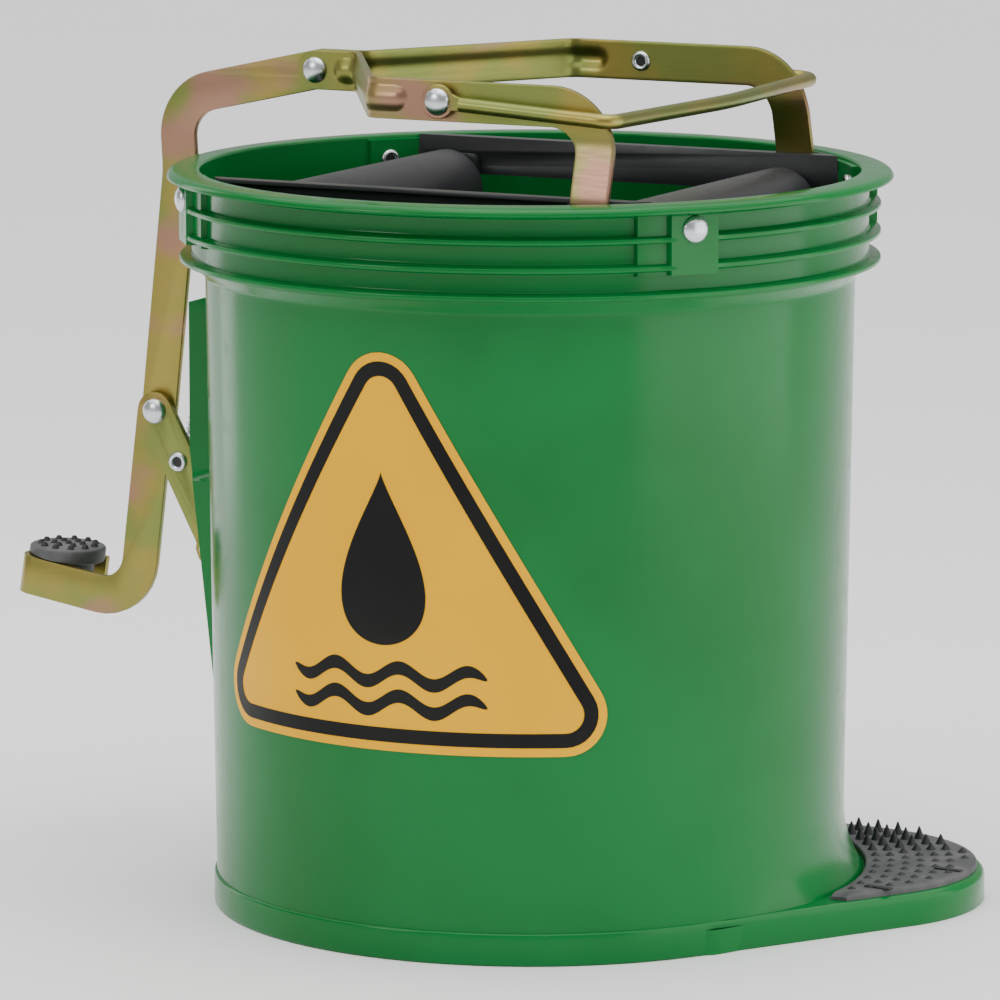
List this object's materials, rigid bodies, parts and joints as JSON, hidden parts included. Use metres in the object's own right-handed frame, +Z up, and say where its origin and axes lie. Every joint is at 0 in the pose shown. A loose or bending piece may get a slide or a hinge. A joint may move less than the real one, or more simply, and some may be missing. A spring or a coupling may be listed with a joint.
{
  "type": "pedal wringer mop bucket",
  "caption": "Round green plastic mop bucket with a foot-pedal roller wringer, step platform and folding carry bail.",
  "frame": {"origin": "centre of the bucket's underside, on the floor plane", "axes": "+Z up along the bucket's axis, +X away from the pedal, +Y along the rollers"},
  "size_m": [0.425, 0.3, 0.3523],
  "materials": {
    "bucket_plastic": "moulded gloss green",
    "grip_rubber": "matt black",
    "label_film": "printed yellow film",
    "rail_plastic": "satin charcoal",
    "roller_plastic": "satin dark grey",
    "zinc_steel": "yellow zinc passivate",
    "rivet_steel": "bright plated"
  },
  "bodies": {
    "bucket": {"bucket_shell": "bucket_plastic", "foot_grip": "grip_rubber", "label_sticker": "label_film", "side_rail_back": "rail_plastic", "side_rail_front": "rail_plastic", "rail_rivet_back_step": "rivet_steel", "rail_rivet_back_pedal": "rivet_steel", "rail_rivet_front_pedal": "rivet_steel", "rail_rivet_front_step": "rivet_steel", "fixed_roller_axle": "rivet_steel", "bearing_block_back": "rail_plastic", "bearing_block_front": "rail_plastic", "pivot_bracket_front": "zinc_steel", "pivot_bracket_back": "zinc_steel", "pedal_pivot_pin": "rivet_steel", "bracket_rivet_front_lower": "rivet_steel", "bracket_rivet_front_upper": "rivet_steel", "bracket_rivet_back_lower": "rivet_steel", "bracket_rivet_back_upper": "rivet_steel", "spring_anchor": "rivet_steel", "return_spring": "rivet_steel"},
    "fixed_roller_body": {"fixed_roller": "roller_plastic"},
    "frame": {"frame_arm_back": "zinc_steel", "frame_arm_front": "zinc_steel", "link_rivet_top": "rivet_steel", "slide_shoe_back": "rail_plastic", "slide_shoe_front": "rail_plastic", "shoe_rivet_back": "rivet_steel", "shoe_rivet_front": "rivet_steel", "moving_roller_axle": "rivet_steel", "bail_rivet_back": "rivet_steel", "bail_rivet_front": "rivet_steel"},
    "moving_roller_body": {"moving_roller": "roller_plastic"},
    "bail": {"carry_bail": "zinc_steel"},
    "link": {"pull_link": "zinc_steel"},
    "pedal": {"pedal_lever": "zinc_steel", "link_rivet_bottom": "rivet_steel", "spring_rivet": "rivet_steel", "pedal_pad": "grip_rubber"}
  },
  "joints": [
    {"name": "pedal_hinge", "type": "hinge", "parent": "bucket", "child": "pedal", "pos_m": [-0.1465, 0, 0.13798], "axis": [0, -1, 0], "range_deg": [0, 24], "stiffness_Nm_per_rad": 2, "springref_deg": -20.05, "deforming": ["return_spring"]},
    {"name": "frame_slide", "type": "slide", "parent": "bucket", "child": "frame", "axis": [-1, 0, 0], "range_m": [0, 0.0635]},
    {"name": "link_hinge", "type": "hinge", "parent": "frame", "child": "link", "pos_m": [-0.0984, 0, 0.344], "axis": [0, -1, 0], "range_deg": [0, 15.5]},
    {"name": "bail_hinge", "type": "hinge", "parent": "frame", "child": "bail", "pos_m": [0.007, 0, 0.344], "axis": [0, -1, 0], "range_deg": [0, 160]},
    {"name": "moving_roller_spin", "type": "hinge", "parent": "frame", "child": "moving_roller_body", "pos_m": [0.07545, 0, 0.286], "axis": [0, 1, 0], "continuous": true},
    {"name": "fixed_roller_spin", "type": "hinge", "parent": "bucket", "child": "fixed_roller_body", "pos_m": [-0.081, 0, 0.286], "axis": [0, 1, 0], "continuous": true}
  ],
  "couplings": [
    {"joint": "frame_slide", "follows": "pedal_hinge", "m_per_rad": 0.15043},
    {"joint": "link_hinge", "follows": "pedal_hinge", "ratio": 0.6409}
  ]
}
